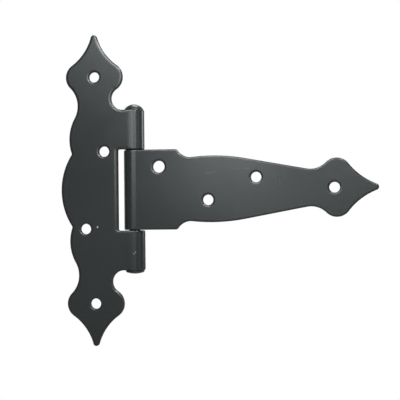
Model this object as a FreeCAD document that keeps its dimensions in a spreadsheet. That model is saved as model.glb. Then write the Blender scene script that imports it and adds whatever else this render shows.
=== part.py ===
import FreeCAD, Part

import math
import os

import Sketcher

# A tee hinge: a stamped frame leaf with four screw holes and two rolled knuckles,
# a long tapering strap with one rolled knuckle, and the riveted pin through them.
# The frame is the pin's: +Z runs up the pin, the strap reaches towards +X, the frame
# leaf towards -X, and the smooth show faces of both sheets look towards -Y.
# The origin lies on the pin's axis, half way up the barrel.

Vector = FreeCAD.Vector

# How a sketch names the points of a line or an arc.
START, END, CENTRE = range(1, 4)

# How a sketch names its own origin with the level axis, and its upright axis.
ORIGIN_AXIS, UPRIGHT_AXIS = range(-1, -3, -1)

# An edge is looked at in a few points, and lies on a surface when each is this near to it.
LOOKS = 5
NEAR = 1e-6

# Driving dimensions in millimetres, and angles in degrees.
SIZES = {
    # Sheet, barrel and clearances
    "sheet_thickness": 3.0,
    "pin_diameter": 7.0,
    "pin_clearance": 0.08,
    "barrel_length": 100.5,
    "knuckle_gap": 0.4,
    "seam_gap": 0.2,
    "edge_rolloff": 0.7,
    "rim_rolloff": 0.5,
    # Frame leaf
    "leaf_length": 195.0,
    "leaf_spear_reach": 24.1,
    "leaf_spear_width": 36.2,
    "leaf_spear_length": 26.5,
    "leaf_shoulder_radius": 9.3,
    "leaf_tip_radius": 1.9,
    "leaf_flank_radius": 32.5,
    "notch_setout": 17.9,
    "leaf_neck_radius": 16.0,
    "lobe_radius": 27.5,
    "lobe_reach": 40.3,
    "lobe_height": 32.0,
    "middle_radius": 41.5,
    "middle_reach": 45.6,
    "cusp_radius": 1.2,
    "slot_clearance": 2.7,
    "slot_corner_radius": 1.0,
    "outer_hole_setback": 26.5,
    "inner_hole_height": 24.2,
    "high_hole_reach": 18.1,
    "low_hole_reach": 30.1,
    "leaf_hole_diameter": 6.5,
    # Strap
    "strap_length": 152.0,
    "root_width": 50.0,
    "root_reach": 26.8,
    "root_corner_radius": 2.0,
    "valley_radius": 9.7,
    "hump_radius": 112.0,
    "hump_reach": 50.0,
    "hump_step": 4.35,
    "taper_angle": 10.5,
    "strap_neck_radius": 13.3,
    "strap_spear_width": 36.2,
    "strap_spear_length": 25.5,
    "strap_shoulder_radius": 9.0,
    "strap_tip_radius": 2.0,
    "strap_flank_radius": 39.7,
    "root_hole_reach": 16.6,
    "root_hole_height": 14.2,
    "root_hole_diameter": 7.4,
    "near_hole_reach": 47.4,
    "near_hole_drop": 6.8,
    "far_hole_reach": 77.3,
    "far_hole_height": 6.9,
    "tip_hole_setback": 26.8,
    "strap_hole_diameter": 6.5,
    # Pin
    "head_diameter": 11.8,
    "head_height": 3.7,
    "head_land": 0.7,
    "foot_diameter": 11.8,
    "foot_height": 2.3,
    "foot_dome_radius": 16.0,
    "foot_corner_radius": 1.1,
}

# Sizes that follow from the driving ones.
WORKED_OUT = {
    "bore_radius": "=pin_diameter / 2 + pin_clearance",
    "barrel_radius": "=pin_diameter / 2 + pin_clearance + sheet_thickness",
    "barrel_half": "=barrel_length / 2",
    "slot_half": "=root_width / 2 + knuckle_gap",
    "knuckle_height": "=barrel_half - slot_half",
    "slot_depth": "=barrel_radius + slot_clearance",
    "leaf_tip_centre": "=leaf_length / 2 - leaf_tip_radius",
    "leaf_shoulder_height": "=leaf_length / 2 - leaf_spear_length",
    "outer_hole_height": "=leaf_length / 2 - outer_hole_setback",
    "notch_reach": "=leaf_spear_reach - notch_setout",
    "arm_side_shoulder": "=leaf_spear_reach - leaf_spear_width / 2 + leaf_shoulder_radius",
    "free_side_shoulder": "=leaf_spear_reach + leaf_spear_width / 2 - leaf_shoulder_radius",
    "lobe_centre": "=lobe_reach - lobe_radius",
    "root_half": "=root_width / 2",
    "hump_peak": "=root_half - hump_step",
    "strap_tip_centre": "=strap_length - strap_tip_radius",
    "strap_shoulder_reach": "=strap_length - strap_spear_length",
    "strap_shoulder_height": "=strap_spear_width / 2 - strap_shoulder_radius",
    "tip_hole_reach": "=strap_length - tip_hole_setback",
    "pin_radius": "=pin_diameter / 2",
    "head_radius": "=head_diameter / 2",
    "head_rim": "=barrel_half + head_land",
    "head_top": "=barrel_half + head_height",
    "foot_radius": "=foot_diameter / 2",
    "foot_bottom": "=barrel_half + foot_height",
}


class Sheet:
    """The document's spreadsheet, with one named cell for every size."""

    def __init__(self, document):
        self.sheet = document.addObject("Spreadsheet::Sheet", "Sizes")
        cells = {name: str(value) for name, value in SIZES.items()}
        cells.update(WORKED_OUT)
        for row, (name, content) in enumerate(cells.items(), start=1):
            self.sheet.set("A%d" % row, name)
            self.sheet.set("B%d" % row, content)
            self.sheet.setAlias("B%d" % row, name)
        document.recompute()

    def __getattr__(self, name):
        return float(self.sheet.get(name))


def origin_plane(body, role):
    """One of the body's own origin planes."""
    for feature in body.Origin.OriginFeatures:
        if feature.Role == role:
            return feature
    raise ValueError("no plane " + role)


def add_sketch(body, name, role, offset_name=None, offset=0.0):
    """A sketch on an origin plane, lifted along the plane's normal by a named size."""
    sketch = body.newObject("Sketcher::SketchObject", name)
    sketch.AttachmentSupport = [(origin_plane(body, role), "")]
    sketch.MapMode = "FlatFace"
    if offset_name:
        sketch.AttachmentOffset = FreeCAD.Placement(Vector(0, 0, offset), FreeCAD.Rotation())
        sketch.setExpression("AttachmentOffset.Base.z", "Sizes." + offset_name)
    return sketch


def dimension(sketch, kind, items, value, expression):
    """A driving constraint that follows a named size or an expression of them."""
    index = sketch.addConstraint(Sketcher.Constraint(kind, *items, value))
    sketch.setExpression("Constraints[%d]" % index, expression)


class Outline:
    """A closed outline of lines and arcs, drawn in order, each from where the last ended."""

    def __init__(self, sketch):
        self.sketch = sketch
        self.pieces = []

    def _join(self, piece, smooth):
        if self.pieces:
            last = self.pieces[-1]
            kind = "Tangent" if smooth else "Coincident"
            self.sketch.addConstraint(
                Sketcher.Constraint(kind, last["index"], last["leave"], piece["index"], piece["enter"])
            )
        self.pieces.append(piece)
        return piece["index"]

    def line(self, start, end, smooth=False):
        index = self.sketch.addGeometry(Part.LineSegment(Vector(*start, 0), Vector(*end, 0)), False)
        return self._join({"index": index, "enter": START, "leave": END}, smooth)

    def arc(self, centre, start, end, left_turn, smooth=True):
        """An arc that turns left (outward bulge) or right (hollow) about its centre."""
        radius = math.dist(centre, start)
        first = math.atan2(start[1] - centre[1], start[0] - centre[0])
        last = math.atan2(end[1] - centre[1], end[0] - centre[0])
        circle = Part.Circle(Vector(*centre, 0), Vector(0, 0, 1), radius)
        if left_turn:
            curve = Part.ArcOfCircle(circle, first, last)
            piece = {"enter": START, "leave": END}
        else:
            curve = Part.ArcOfCircle(circle, last, first)
            piece = {"enter": END, "leave": START}
        piece["index"] = self.sketch.addGeometry(curve, False)
        return self._join(piece, smooth)

    def close(self):
        first, last = self.pieces[0], self.pieces[-1]
        self.sketch.addConstraint(
            Sketcher.Constraint("Coincident", last["index"], last["leave"], first["index"], first["enter"])
        )

    def start_at_origin(self):
        first = self.pieces[0]
        self.sketch.addConstraint(
            Sketcher.Constraint("Coincident", first["index"], first["enter"], ORIGIN_AXIS, START)
        )

    def level(self, index):
        self.sketch.addConstraint(Sketcher.Constraint("Horizontal", index))

    def upright(self, index):
        self.sketch.addConstraint(Sketcher.Constraint("Vertical", index))

    def on_level_axis(self, index, point):
        self.sketch.addConstraint(Sketcher.Constraint("PointOnObject", index, point, ORIGIN_AXIS))

    def on_upright_axis(self, index, point):
        self.sketch.addConstraint(Sketcher.Constraint("PointOnObject", index, point, UPRIGHT_AXIS))

    def _away(self, sizes, name, kind, items):
        dimension(self.sketch, kind, items, getattr(sizes, name), "Sizes." + name)

    def right_of_origin(self, index, point, sizes, name):
        self._away(sizes, name, "DistanceX", (ORIGIN_AXIS, START, index, point))

    def left_of_origin(self, index, point, sizes, name):
        self._away(sizes, name, "DistanceX", (index, point, ORIGIN_AXIS, START))

    def above_origin(self, index, point, sizes, name):
        self._away(sizes, name, "DistanceY", (ORIGIN_AXIS, START, index, point))

    def below_origin(self, index, point, sizes, name):
        self._away(sizes, name, "DistanceY", (index, point, ORIGIN_AXIS, START))

    def radius(self, index, sizes, name):
        self._away(sizes, name, "Radius", (index,))


# Plane geometry for where the arcs of an outline meet


def touch(centre_a, radius_a, centre_b):
    """The point of circle a that faces the centre of circle b."""
    share = radius_a / math.dist(centre_a, centre_b)
    return (
        centre_a[0] + (centre_b[0] - centre_a[0]) * share,
        centre_a[1] + (centre_b[1] - centre_a[1]) * share,
    )


def nestle(centre_a, radius_a, centre_b, radius_b, radius):
    """The centre of a circle that touches circles a and b from outside, left of the way a to b."""
    apart = math.dist(centre_a, centre_b)
    reach_a = radius_a + radius
    reach_b = radius_b + radius
    along = (reach_a**2 - reach_b**2 + apart**2) / (2 * apart)
    aside = math.sqrt(reach_a**2 - along**2)
    way = ((centre_b[0] - centre_a[0]) / apart, (centre_b[1] - centre_a[1]) / apart)
    return (
        centre_a[0] + along * way[0] - aside * way[1],
        centre_a[1] + along * way[1] + aside * way[0],
    )


def step(point, way, distance):
    """The point that lies this far from a point along a way."""
    return (point[0] + way[0] * distance, point[1] + way[1] * distance)


def slide_to_touch(start, way, centre, reach):
    """The first point on a line's way that is within reach of a centre."""
    to_centre = (centre[0] - start[0], centre[1] - start[1])
    along = to_centre[0] * way[0] + to_centre[1] * way[1]
    aside = to_centre[0] * way[1] - to_centre[1] * way[0]
    half_chord = math.sqrt(reach**2 - aside**2)
    return step(start, way, along - half_chord)


def tuck_under(centre, radius, x, level):
    """The radius of a circle centred at x that rests on a level and touches a circle above it."""
    aside = x - centre[0]
    rise = centre[1] - level
    return (aside**2 + rise**2 - radius**2) / (2 * (rise + radius))


# The frame leaf


def draw_leaf_outline(sketch, sizes):
    """The upper half of the flat leaf: slot, arm, notch, spear, neck, lobe and half the middle lobe."""
    slot_top = sizes.slot_half
    arm_top = sizes.barrel_half
    corner = sizes.slot_corner_radius
    shoulder_radius = sizes.leaf_shoulder_radius
    flank_radius = sizes.leaf_flank_radius
    neck_radius = sizes.leaf_neck_radius

    tip = (-sizes.leaf_spear_reach, sizes.leaf_tip_centre)
    near_shoulder = (-sizes.arm_side_shoulder, sizes.leaf_shoulder_height)
    free_shoulder = (-sizes.free_side_shoulder, sizes.leaf_shoulder_height)
    lobe = (-sizes.lobe_centre, sizes.lobe_height)
    middle = (sizes.middle_radius - sizes.middle_reach, 0.0)

    near_flank = nestle(tip, sizes.leaf_tip_radius, near_shoulder, shoulder_radius, flank_radius)
    free_flank = nestle(free_shoulder, shoulder_radius, tip, sizes.leaf_tip_radius, flank_radius)
    neck = nestle(lobe, sizes.lobe_radius, free_shoulder, shoulder_radius, neck_radius)
    cusp = nestle(middle, sizes.middle_radius, lobe, sizes.lobe_radius, sizes.cusp_radius)
    notch_radius = tuck_under(near_shoulder, shoulder_radius, -sizes.notch_reach, arm_top)
    notch = (-sizes.notch_reach, arm_top + notch_radius)

    notch_end = touch(notch, notch_radius, near_shoulder)
    near_flank_start = touch(near_shoulder, shoulder_radius, near_flank)
    tip_start = touch(tip, sizes.leaf_tip_radius, near_flank)
    tip_end = touch(tip, sizes.leaf_tip_radius, free_flank)
    free_flank_end = touch(free_shoulder, shoulder_radius, free_flank)
    neck_start = touch(free_shoulder, shoulder_radius, neck)
    neck_end = touch(lobe, sizes.lobe_radius, neck)
    cusp_start = touch(lobe, sizes.lobe_radius, cusp)
    cusp_end = touch(middle, sizes.middle_radius, cusp)

    wall = -sizes.slot_depth
    wall_top = (wall, slot_top - corner)
    edge_start = (wall + corner, slot_top)
    edge_end = (0.0, slot_top)
    arm_corner = (0.0, arm_top)
    notch_start = (notch[0], arm_top)
    far_left = (-sizes.middle_reach, 0.0)

    outline = Outline(sketch)
    slot_wall = outline.line((wall, 0.0), wall_top)
    slot_corner = outline.arc((wall + corner, wall_top[1]), wall_top, edge_start, left_turn=False)
    slot_edge = outline.line(edge_start, edge_end, smooth=True)
    roll_line = outline.line(edge_end, arm_corner)
    arm_edge = outline.line(arm_corner, notch_start)
    notch_arc = outline.arc(notch, notch_start, notch_end, left_turn=False)
    near_shoulder_arc = outline.arc(near_shoulder, notch_end, near_flank_start, left_turn=True)
    near_flank_arc = outline.arc(near_flank, near_flank_start, tip_start, left_turn=False)
    tip_arc = outline.arc(tip, tip_start, tip_end, left_turn=True)
    free_flank_arc = outline.arc(free_flank, tip_end, free_flank_end, left_turn=False)
    free_shoulder_arc = outline.arc(free_shoulder, free_flank_end, neck_start, left_turn=True)
    neck_arc = outline.arc(neck, neck_start, neck_end, left_turn=False)
    lobe_arc = outline.arc(lobe, neck_end, cusp_start, left_turn=True)
    cusp_arc = outline.arc(cusp, cusp_start, cusp_end, left_turn=False)
    middle_arc = outline.arc(middle, cusp_end, far_left, left_turn=True)
    middle_line = outline.line(far_left, (wall, 0.0))
    outline.close()

    outline.upright(slot_wall)
    outline.on_level_axis(slot_wall, START)
    outline.level(slot_edge)
    outline.on_upright_axis(roll_line, START)
    outline.upright(roll_line)
    outline.level(arm_edge)
    outline.level(middle_line)
    outline.on_level_axis(middle_arc, CENTRE)

    outline.left_of_origin(slot_wall, START, sizes, "slot_depth")
    outline.radius(slot_corner, sizes, "slot_corner_radius")
    outline.above_origin(roll_line, START, sizes, "slot_half")
    outline.above_origin(roll_line, END, sizes, "barrel_half")
    outline.left_of_origin(notch_arc, CENTRE, sizes, "notch_reach")
    outline.left_of_origin(near_shoulder_arc, CENTRE, sizes, "arm_side_shoulder")
    outline.left_of_origin(free_shoulder_arc, CENTRE, sizes, "free_side_shoulder")
    for shoulder_arc in (near_shoulder_arc, free_shoulder_arc):
        outline.above_origin(shoulder_arc, CENTRE, sizes, "leaf_shoulder_height")
        outline.radius(shoulder_arc, sizes, "leaf_shoulder_radius")
    for flank_arc in (near_flank_arc, free_flank_arc):
        outline.radius(flank_arc, sizes, "leaf_flank_radius")
    outline.left_of_origin(tip_arc, CENTRE, sizes, "leaf_spear_reach")
    outline.above_origin(tip_arc, CENTRE, sizes, "leaf_tip_centre")
    outline.radius(tip_arc, sizes, "leaf_tip_radius")
    outline.radius(neck_arc, sizes, "leaf_neck_radius")
    outline.left_of_origin(lobe_arc, CENTRE, sizes, "lobe_centre")
    outline.above_origin(lobe_arc, CENTRE, sizes, "lobe_height")
    outline.radius(lobe_arc, sizes, "lobe_radius")
    outline.radius(cusp_arc, sizes, "cusp_radius")
    outline.radius(middle_arc, sizes, "middle_radius")
    outline.left_of_origin(middle_arc, END, sizes, "middle_reach")


def draw_curl(sketch, sizes, side):
    """The rolled section about the pin, leaving its sheet at the show face. It rolls away from
    the sheet, so side is +1 for a sheet on the left and -1 for one on the right."""
    outer = sizes.barrel_radius
    inner = sizes.bore_radius
    end_drop = inner - sizes.seam_gap
    end_angle = math.pi + math.asin(end_drop / outer)
    end_way = (side * math.cos(end_angle), math.sin(end_angle))
    outer_end = (outer * end_way[0], outer * end_way[1])
    inner_end = (inner * end_way[0], inner * end_way[1])
    outline = Outline(sketch)
    turns_left = side > 0
    outer_arc = outline.arc((0.0, 0.0), (0.0, -outer), outer_end, left_turn=turns_left)
    cut_end = outline.line(outer_end, inner_end)
    inner_arc = outline.arc((0.0, 0.0), inner_end, (0.0, -inner), left_turn=not turns_left, smooth=False)
    root = outline.line((0.0, -inner), (0.0, -outer))
    outline.close()
    for arc in (outer_arc, inner_arc):
        sketch.addConstraint(Sketcher.Constraint("Coincident", arc, CENTRE, ORIGIN_AXIS, START))
    sketch.addConstraint(Sketcher.Constraint("PointOnObject", ORIGIN_AXIS, START, cut_end))
    outline.upright(root)
    outline.on_upright_axis(root, START)
    outline.radius(outer_arc, sizes, "barrel_radius")
    outline.radius(inner_arc, sizes, "bore_radius")
    drop = "Sizes.bore_radius - Sizes.seam_gap"
    dimension(sketch, "DistanceY", (cut_end, START, ORIGIN_AXIS, START), end_drop, drop)


def draw_holes(sketch, sizes, holes):
    """Round holes, each given as reach, height and diameter names with the signs of its place."""
    for reach, reach_sign, height, height_sign, diameter in holes:
        x = reach_sign * getattr(sizes, reach)
        z = height_sign * getattr(sizes, height) if height else 0.0
        circle = Part.Circle(Vector(x, z, 0), Vector(0, 0, 1), getattr(sizes, diameter) / 2)
        index = sketch.addGeometry(circle, False)
        outline = Outline(sketch)
        if reach_sign > 0:
            outline.right_of_origin(index, CENTRE, sizes, reach)
        else:
            outline.left_of_origin(index, CENTRE, sizes, reach)
        if not height:
            outline.on_level_axis(index, CENTRE)
        elif height_sign > 0:
            outline.above_origin(index, CENTRE, sizes, height)
        else:
            outline.below_origin(index, CENTRE, sizes, height)
        dimension(sketch, "Diameter", (index,), getattr(sizes, diameter), "Sizes." + diameter)


def pad(body, sketch, name, length, reverse=False, both_ways=False):
    """Thicken a sketch by a named size."""
    feature = body.newObject("PartDesign::Pad", name)
    feature.Profile = sketch
    feature.setExpression("Length", "Sizes." + length)
    feature.Reversed = reverse
    feature.Midplane = both_ways
    return feature


def mirror_across_middle(body, name, features):
    """Repeat features on the other side of the level plane through the origin."""
    mirror = body.newObject("PartDesign::Mirrored", name)
    mirror.Originals = features
    mirror.MirrorPlane = (origin_plane(body, "XY_Plane"), [""])
    body.Tip = mirror
    return mirror


def punch(body, sketch, name, before):
    """Punch a sketch of holes through the sheet, and make sure that metal went."""
    feature = body.newObject("PartDesign::Pocket", name)
    feature.Profile = sketch
    feature.setExpression("Length", "Sizes.sheet_thickness")
    body.Document.recompute()
    if feature.Shape.Volume >= before.Shape.Volume:
        raise ValueError(name + " cut nothing")
    return feature


def is_flat_at(edge, y):
    """Whether the whole edge lies in the plane at this y."""
    return all(abs(point.y - y) < NEAR for point in edge.discretize(LOOKS))


def hole_rims(shape, sizes):
    """The circles round the screw holes on the show face."""
    names = []
    for number, edge in enumerate(shape.Edges, start=1):
        if is_flat_at(edge, -sizes.barrel_radius) and edge.Closed:
            names.append("Edge%d" % number)
    return names


def show_edges(shape, sizes):
    """The sheared edges of the show face, and those of the barrel that carry on from them."""
    names = []
    for number, edge in enumerate(shape.Edges, start=1):
        points = edge.discretize(LOOKS)
        on_face = is_flat_at(edge, -sizes.barrel_radius) and not edge.Closed
        roll_line = all(abs(point.x) < NEAR for point in points)
        level = all(abs(point.z - points[0].z) < NEAR for point in points)
        off_barrel = [math.hypot(point.x, point.y) - sizes.barrel_radius for point in points]
        on_barrel = max(map(abs, off_barrel)) < NEAR
        if (on_face and not roll_line) or (on_barrel and level):
            names.append("Edge%d" % number)
    return names


def roll_off(body, name, base, edges, size):
    """Ease edges by a named size, as shearing and the paint over it do."""
    feature = body.newObject("PartDesign::Chamfer", name)
    feature.Base = (base, edges)
    feature.setExpression("Size", "Sizes." + size)
    body.Document.recompute()
    return feature


def make_frame_leaf(document, sizes):
    """The leaf that is screwed to the frame, with a knuckle rolled at the end of each arm."""
    body = document.addObject("PartDesign::Body", "frame_leaf")
    outline = add_sketch(body, "leaf_outline", "XZ_Plane", "barrel_radius", sizes.barrel_radius)
    draw_leaf_outline(outline, sizes)
    sheet = pad(body, outline, "leaf_sheet", "sheet_thickness", reverse=True)
    curl = add_sketch(body, "leaf_curl", "XY_Plane", "slot_half", sizes.slot_half)
    draw_curl(curl, sizes, side=1)
    knuckle = pad(body, curl, "leaf_knuckle", "knuckle_height")
    whole = mirror_across_middle(body, "lower_half", [sheet, knuckle])
    document.recompute()

    holes = add_sketch(body, "leaf_holes", "XZ_Plane", "barrel_radius", sizes.barrel_radius)
    draw_holes(holes, sizes, [
        ("leaf_spear_reach", -1, "outer_hole_height", 1, "leaf_hole_diameter"),
        ("leaf_spear_reach", -1, "outer_hole_height", -1, "leaf_hole_diameter"),
        ("high_hole_reach", -1, "inner_hole_height", 1, "leaf_hole_diameter"),
        ("low_hole_reach", -1, "inner_hole_height", -1, "leaf_hole_diameter"),
    ])
    punched = punch(body, holes, "leaf_screw_holes", whole)
    rims = roll_off(body, "leaf_rims", punched, hole_rims(punched.Shape, sizes), "rim_rolloff")
    roll_off(body, "leaf_edges", rims, show_edges(rims.Shape, sizes), "edge_rolloff")
    return body


# The strap


def draw_strap_outline(sketch, sizes):
    """The upper half of the flat strap: root, valley, hump, taper, neck and spear."""
    taper = math.radians(sizes.taper_angle)
    along_taper = (math.cos(taper), -math.sin(taper))
    off_taper = (math.sin(taper), math.cos(taper))
    shoulder_radius = sizes.strap_shoulder_radius
    flank_radius = sizes.strap_flank_radius
    neck_radius = sizes.strap_neck_radius
    tip_radius = sizes.strap_tip_radius

    corner = (sizes.root_reach, sizes.root_half - sizes.root_corner_radius)
    hump = (sizes.hump_reach, sizes.hump_peak - sizes.hump_radius)
    valley = nestle(corner, sizes.root_corner_radius, hump, sizes.hump_radius, sizes.valley_radius)
    corner_end = touch(corner, sizes.root_corner_radius, valley)
    hump_start = touch(hump, sizes.hump_radius, valley)
    hump_end = step(hump, off_taper, sizes.hump_radius)
    shoulder = (sizes.strap_shoulder_reach, sizes.strap_shoulder_height)
    neck_way = step(hump_end, off_taper, neck_radius)
    neck = slide_to_touch(neck_way, along_taper, shoulder, neck_radius + shoulder_radius)
    taper_end = step(neck, off_taper, -neck_radius)
    shoulder_start = touch(shoulder, shoulder_radius, neck)
    tip = (sizes.strap_tip_centre, 0.0)
    flank = nestle(shoulder, shoulder_radius, tip, tip_radius, flank_radius)
    shoulder_end = touch(shoulder, shoulder_radius, flank)
    tip_end = touch(tip, tip_radius, flank)
    far_right = (sizes.strap_length, 0.0)
    root_end = (sizes.root_reach, sizes.root_half)
    root_start = (0.0, sizes.root_half)

    outline = Outline(sketch)
    middle_line = outline.line((0.0, 0.0), far_right)
    tip_arc = outline.arc(tip, far_right, tip_end, left_turn=True, smooth=False)
    flank_arc = outline.arc(flank, tip_end, shoulder_end, left_turn=False)
    shoulder_arc = outline.arc(shoulder, shoulder_end, shoulder_start, left_turn=True)
    neck_arc = outline.arc(neck, shoulder_start, taper_end, left_turn=False)
    taper_line = outline.line(taper_end, hump_end, smooth=True)
    hump_arc = outline.arc(hump, hump_end, hump_start, left_turn=True)
    valley_arc = outline.arc(valley, hump_start, corner_end, left_turn=False)
    corner_arc = outline.arc(corner, corner_end, root_end, left_turn=True)
    root_edge = outline.line(root_end, root_start, smooth=True)
    roll_line = outline.line(root_start, (0.0, 0.0))
    outline.close()

    outline.start_at_origin()
    outline.level(middle_line)
    outline.on_level_axis(tip_arc, CENTRE)
    outline.level(root_edge)
    outline.upright(roll_line)

    outline.right_of_origin(middle_line, END, sizes, "strap_length")
    outline.radius(tip_arc, sizes, "strap_tip_radius")
    outline.radius(flank_arc, sizes, "strap_flank_radius")
    outline.right_of_origin(shoulder_arc, CENTRE, sizes, "strap_shoulder_reach")
    outline.above_origin(shoulder_arc, CENTRE, sizes, "strap_shoulder_height")
    outline.radius(shoulder_arc, sizes, "strap_shoulder_radius")
    outline.radius(neck_arc, sizes, "strap_neck_radius")
    dimension(sketch, "Angle", (taper_line,), math.pi - taper, "180 - Sizes.taper_angle")
    outline.right_of_origin(hump_arc, CENTRE, sizes, "hump_reach")
    dimension(
        sketch,
        "DistanceY",
        (hump_arc, CENTRE, ORIGIN_AXIS, START),
        sizes.hump_radius - sizes.hump_peak,
        "Sizes.hump_radius - Sizes.hump_peak",
    )
    outline.radius(hump_arc, sizes, "hump_radius")
    outline.radius(valley_arc, sizes, "valley_radius")
    outline.radius(corner_arc, sizes, "root_corner_radius")
    outline.right_of_origin(root_edge, START, sizes, "root_reach")
    outline.above_origin(root_edge, END, sizes, "root_half")


def make_strap(document, sizes):
    """The long leaf that carries the gate, with one wide knuckle between the frame leaf's two."""
    body = document.addObject("PartDesign::Body", "strap")
    outline = add_sketch(body, "strap_outline", "XZ_Plane", "barrel_radius", sizes.barrel_radius)
    draw_strap_outline(outline, sizes)
    sheet = pad(body, outline, "strap_sheet", "sheet_thickness", reverse=True)
    curl = add_sketch(body, "strap_curl", "XY_Plane")
    draw_curl(curl, sizes, side=-1)
    knuckle = pad(body, curl, "strap_knuckle", "root_half")
    whole = mirror_across_middle(body, "lower_half", [sheet, knuckle])
    document.recompute()

    holes = add_sketch(body, "strap_holes", "XZ_Plane", "barrel_radius", sizes.barrel_radius)
    draw_holes(holes, sizes, [
        ("root_hole_reach", 1, "root_hole_height", 1, "root_hole_diameter"),
        ("near_hole_reach", 1, "near_hole_drop", -1, "strap_hole_diameter"),
        ("far_hole_reach", 1, "far_hole_height", 1, "strap_hole_diameter"),
        ("tip_hole_reach", 1, None, 0, "strap_hole_diameter"),
    ])
    punched = punch(body, holes, "strap_screw_holes", whole)
    rims = roll_off(body, "strap_rims", punched, hole_rims(punched.Shape, sizes), "rim_rolloff")
    roll_off(body, "strap_edges", rims, show_edges(rims.Shape, sizes), "edge_rolloff")
    return body


# The pin


def draw_pin_section(sketch, sizes):
    """Half the pin's section: shank, domed head on top, and the flatter peened foot below."""
    shank = sizes.pin_radius
    seat = sizes.barrel_half
    rim = sizes.head_rim
    top = sizes.head_top
    head = sizes.head_radius
    foot = sizes.foot_radius
    bottom = sizes.foot_bottom
    corner = sizes.foot_corner_radius
    rise = top - rim
    dome = (0.0, top - (head**2 + rise**2) / (2 * rise))
    foot_dome = (0.0, sizes.foot_dome_radius - bottom)
    inner_reach = sizes.foot_dome_radius - corner
    foot_corner = (foot - corner, foot_dome[1] - math.sqrt(inner_reach**2 - (foot - corner) ** 2))
    dome_end = touch(foot_dome, sizes.foot_dome_radius, foot_corner)

    outline = Outline(sketch)
    axis = outline.line((0.0, top), (0.0, -bottom))
    foot_face = outline.arc(foot_dome, (0.0, -bottom), dome_end, left_turn=True, smooth=False)
    foot_arc = outline.arc(foot_corner, dome_end, (foot, foot_corner[1]), left_turn=True)
    foot_side = outline.line((foot, foot_corner[1]), (foot, -seat), smooth=True)
    foot_seat = outline.line((foot, -seat), (shank, -seat))
    shank_side = outline.line((shank, -seat), (shank, seat))
    head_seat = outline.line((shank, seat), (head, seat))
    head_side = outline.line((head, seat), (head, rim))
    outline.arc(dome, (head, rim), (0.0, top), left_turn=True, smooth=False)
    outline.close()
    dome_arc = outline.pieces[-1]["index"]

    for upright in (foot_side, shank_side, head_side):
        outline.upright(upright)
    for level in (foot_seat, head_seat):
        outline.level(level)
    outline.on_upright_axis(axis, START)
    outline.on_upright_axis(axis, END)
    outline.on_upright_axis(dome_arc, CENTRE)
    outline.on_upright_axis(foot_face, CENTRE)
    outline.above_origin(axis, START, sizes, "head_top")
    outline.below_origin(axis, END, sizes, "foot_bottom")
    outline.radius(foot_face, sizes, "foot_dome_radius")
    outline.radius(foot_arc, sizes, "foot_corner_radius")
    outline.right_of_origin(foot_side, END, sizes, "foot_radius")
    outline.below_origin(foot_side, END, sizes, "barrel_half")
    outline.right_of_origin(shank_side, END, sizes, "pin_radius")
    outline.above_origin(shank_side, END, sizes, "barrel_half")
    outline.right_of_origin(head_side, END, sizes, "head_radius")
    outline.above_origin(head_side, END, sizes, "head_rim")


def make_hinge_pin(document, sizes):
    """The pin, riveted over at both ends so that the leaves can't come apart."""
    body = document.addObject("PartDesign::Body", "hinge_pin")
    section = add_sketch(body, "pin_section", "XZ_Plane")
    draw_pin_section(section, sizes)
    turned = body.newObject("PartDesign::Revolution", "turned_pin")
    turned.Profile = section
    turned.ReferenceAxis = (section, ["V_Axis"])
    turned.Angle = 360
    return body


def check_document(document):
    """Stop if anything in the document failed or a sketch is loose."""
    for item in document.Objects:
        if "Invalid" in item.State or "Error" in item.State:
            raise ValueError(item.Name + " failed: " + ", ".join(item.State))
        if item.TypeId == "Sketcher::SketchObject" and not item.FullyConstrained:
            raise ValueError(item.Name + " is not fully constrained")


def write_parts(bodies):
    """Write each piece to a file of its own, named after its node."""
    os.makedirs("parts", exist_ok=True)
    for body in bodies:
        if body.Shape.isNull() or not body.Shape.isValid() or len(body.Shape.Solids) != 1:
            raise ValueError(body.Label + " is not one valid solid")
    for body in bodies:
        body.Shape.exportStep("parts/%s.step" % body.Label)


def main():
    document = FreeCAD.newDocument("tee_hinge")
    sizes = Sheet(document)
    bodies = [
        make_frame_leaf(document, sizes),
        make_strap(document, sizes),
        make_hinge_pin(document, sizes),
    ]
    document.recompute()
    check_document(document)
    write_parts(bodies)


main()
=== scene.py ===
import math

import bpy
import numpy as np
from bpy.props import FloatProperty, FloatVectorProperty, PointerProperty
from mathutils import Matrix, Vector
from mathutils.geometry import delaunay_2d_cdt


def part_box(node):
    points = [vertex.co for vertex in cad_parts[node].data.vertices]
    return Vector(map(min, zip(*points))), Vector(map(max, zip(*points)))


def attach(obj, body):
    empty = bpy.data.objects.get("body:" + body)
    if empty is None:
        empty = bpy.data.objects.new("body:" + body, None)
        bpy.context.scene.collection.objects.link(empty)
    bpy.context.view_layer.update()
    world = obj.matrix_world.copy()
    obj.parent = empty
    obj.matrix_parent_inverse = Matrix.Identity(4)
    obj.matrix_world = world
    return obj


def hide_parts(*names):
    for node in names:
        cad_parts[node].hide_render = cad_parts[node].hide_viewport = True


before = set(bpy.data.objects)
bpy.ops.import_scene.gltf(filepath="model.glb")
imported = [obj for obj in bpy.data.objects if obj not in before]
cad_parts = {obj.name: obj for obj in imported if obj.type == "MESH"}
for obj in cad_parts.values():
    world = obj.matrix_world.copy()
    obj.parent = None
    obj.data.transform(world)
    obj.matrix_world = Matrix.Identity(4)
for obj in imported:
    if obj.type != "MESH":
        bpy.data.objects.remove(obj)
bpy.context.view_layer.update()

# A tee hinge: two stamped and rolled sheets on a riveted pin, in satin powder coat.
# +Z runs up the pin, the strap reaches towards +X, and the smooth faces look towards -Y.
# The sizes are metres. Each sheet is drawn flat, as it is stamped, and then rolled.

bl_info = {
    "name": "Tee Hinge",
    "version": (1, 0, 0),
    "blender": (4, 5, 0),
    "location": "3D View > Sidebar > Tee Hinge",
    "description": "A decorative tee hinge in powder coat, with its studio",
    "category": "Object",
}

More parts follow.
